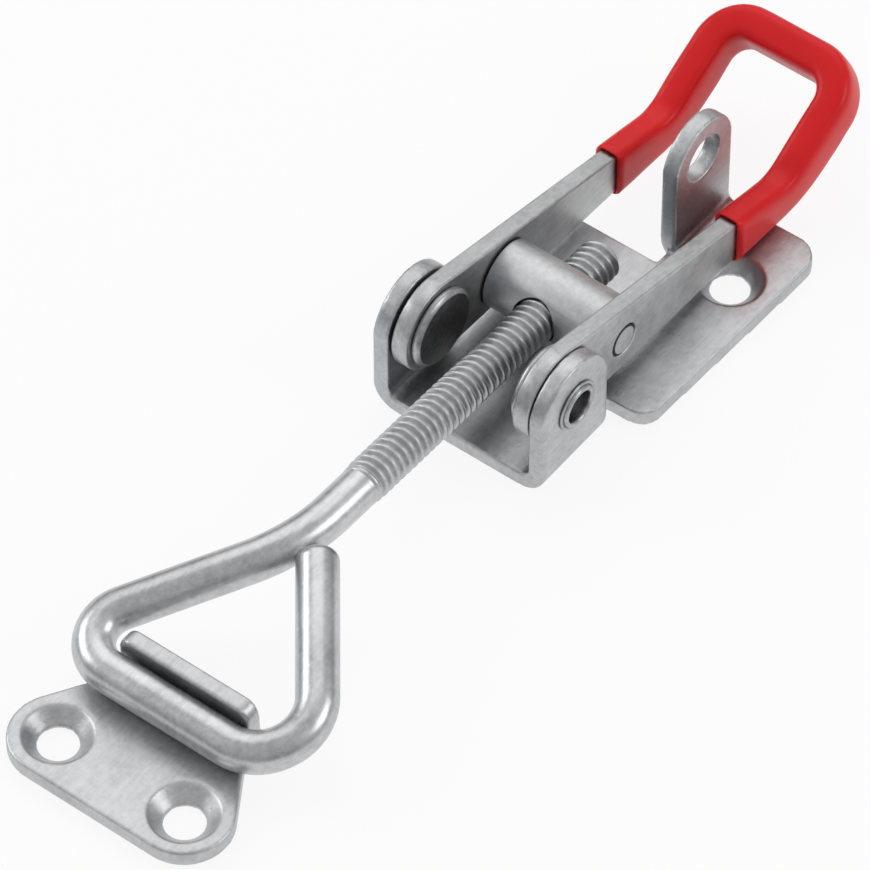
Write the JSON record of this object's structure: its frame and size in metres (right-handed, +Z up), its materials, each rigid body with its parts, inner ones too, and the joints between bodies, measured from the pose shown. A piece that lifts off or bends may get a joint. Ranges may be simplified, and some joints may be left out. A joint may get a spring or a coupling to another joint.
{
  "type": "over centre toggle latch",
  "caption": "Adjustable over centre toggle latch in zinc plated steel: folded base with padlock eye, U handle with dipped red grip, threaded hook rod and screwed catch plate, closed.",
  "frame": {"origin": "on the base's underside, straight below the handle pivot, in the middle between the ears", "axes": "+X from the pivot towards the catch plate, +Y across to the right of the latch, +Z up off the surface it is screwed to"},
  "size_m": [0.1562, 0.0375, 0.0224],
  "materials": {
    "base_zinc": "bright zinc plate on pressed steel sheet",
    "handle_zinc": "bright zinc plate on bent steel strip",
    "red_grip": "smooth dipped soft vinyl, satin",
    "rivet_zinc": "turned and rolled steel, zinc plated",
    "trunnion_zinc": "turned steel, satin zinc plate",
    "rod_zinc": "drawn steel wire, bright zinc plate, rolled thread",
    "catch_zinc": "bright zinc plate on pressed steel sheet"
  },
  "bodies": {
    "base": {"base_plate": "base_zinc", "pivot_rivet_left": "rivet_zinc", "pivot_rivet_right": "rivet_zinc"},
    "lever": {"handle": "handle_zinc", "handle_grip": "red_grip"},
    "trunnion": {"trunnion": "trunnion_zinc"},
    "hook": {"hook_rod": "rod_zinc", "catch_plate": "catch_zinc"}
  },
  "joints": [
    {"name": "handle_pivot", "type": "hinge", "parent": "base", "child": "lever", "pos_m": [0, 0, 0.0125], "axis": [0, 1, 0], "range_deg": [0, 150]},
    {"name": "trunnion_pivot", "type": "hinge", "parent": "lever", "child": "trunnion", "pos_m": [-0.0146, 0, 0.01015], "axis": [0, 1, 0], "range_deg": [-150, 0]},
    {"name": "rod_adjust", "type": "slide", "parent": "trunnion", "child": "hook", "axis": [0.999, 0, 0.0436], "range_m": [-0.006, 0.008]}
  ],
  "couplings": [
    {"joint": "trunnion_pivot", "follows": "handle_pivot", "ratio": -1}
  ]
}
